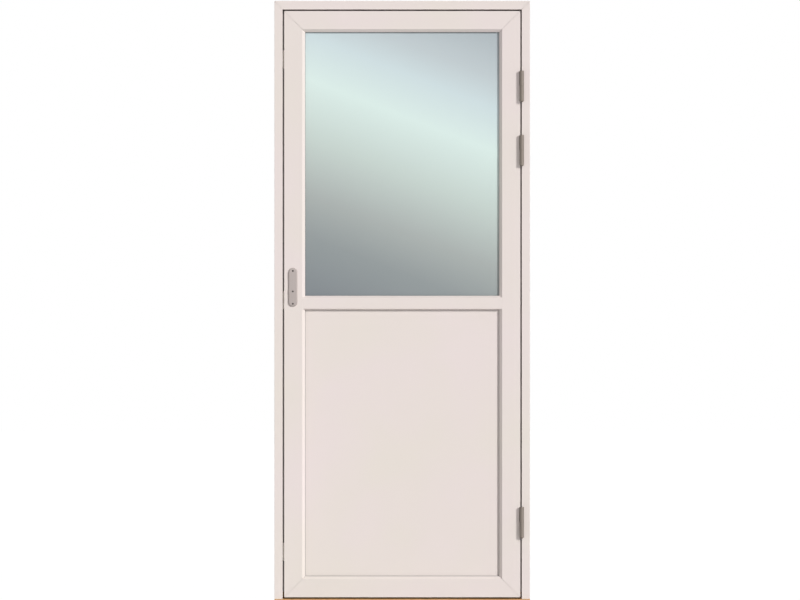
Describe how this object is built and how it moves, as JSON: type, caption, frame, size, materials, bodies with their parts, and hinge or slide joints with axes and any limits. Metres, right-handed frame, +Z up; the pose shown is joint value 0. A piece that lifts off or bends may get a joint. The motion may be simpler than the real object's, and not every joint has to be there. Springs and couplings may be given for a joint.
{
  "type": "patio door",
  "caption": "Half-glazed patio door in its frame, opening outwards: aluminium-clad timber, glass above and a flat panel below a slim crossbar.",
  "frame": {"origin": "centre of the threshold's underside", "axes": "+X to the right seen from outside, -Y outwards, +Z up"},
  "size_m": [0.88, 0.134, 2.08],
  "materials": {
    "lacquered_aluminium": "satin powder coat, warm white",
    "painted_pine": "satin white paint on pine",
    "painted_panel": "satin white paint",
    "oiled_oak": "oiled oak",
    "mill_aluminium": "natural anodised",
    "satin_aluminium": "satin anodised",
    "grey_cover_plate": "satin grey lacquer",
    "zinc_plated_steel": "zinc plated, dull",
    "satin_steel": "satin zinc plated",
    "clear_glass": "clear float glass",
    "spacer_plastic": "matt grey",
    "black_rubber": "matt black",
    "insulation": "rigid foam"
  },
  "bodies": {
    "frame": {"threshold": "oiled_oak", "threshold_rail": "mill_aluminium", "jamb_left": "painted_pine", "jamb_right": "painted_pine", "head": "painted_pine", "frame_cladding_left": "lacquered_aluminium", "frame_cladding_right": "lacquered_aluminium", "frame_cladding_head": "lacquered_aluminium", "frame_seal": "black_rubber", "strike_lower": "satin_steel", "strike_middle": "satin_steel", "strike_upper": "satin_steel", "hinge_lower_frame_half": "zinc_plated_steel", "hinge_middle_frame_half": "zinc_plated_steel", "hinge_upper_frame_half": "zinc_plated_steel"},
    "leaf": {"stile_lock": "painted_pine", "stile_hinge": "painted_pine", "rail_top": "painted_pine", "rail_middle": "painted_pine", "rail_bottom": "painted_pine", "leaf_cladding_left": "lacquered_aluminium", "leaf_cladding_right": "lacquered_aluminium", "leaf_cladding_top": "lacquered_aluminium", "leaf_cladding_bottom": "lacquered_aluminium", "crossbar_cladding": "lacquered_aluminium", "glass_outer": "clear_glass", "glass_middle": "clear_glass", "glass_inner": "clear_glass", "glass_spacers": "spacer_plastic", "panel_outer_skin": "lacquered_aluminium", "panel_core": "insulation", "panel_inner_skin": "painted_panel", "glazing_gaskets": "black_rubber", "glazing_tapes": "black_rubber", "lock_cover_plate": "grey_cover_plate", "handle_plate": "satin_aluminium", "handle_lever": "satin_aluminium", "lock_faceplate": "satin_steel", "lock_bolts": "satin_steel", "hinge_lower_leaf_half": "zinc_plated_steel", "hinge_middle_leaf_half": "zinc_plated_steel", "hinge_upper_leaf_half": "zinc_plated_steel"}
  },
  "joints": [
    {"name": "leaf_swing", "type": "hinge", "parent": "frame", "child": "leaf", "pos_m": [0.4115, -0.068, 0], "axis": [0, 0, 1], "range_deg": [0, 170]}
  ]
}
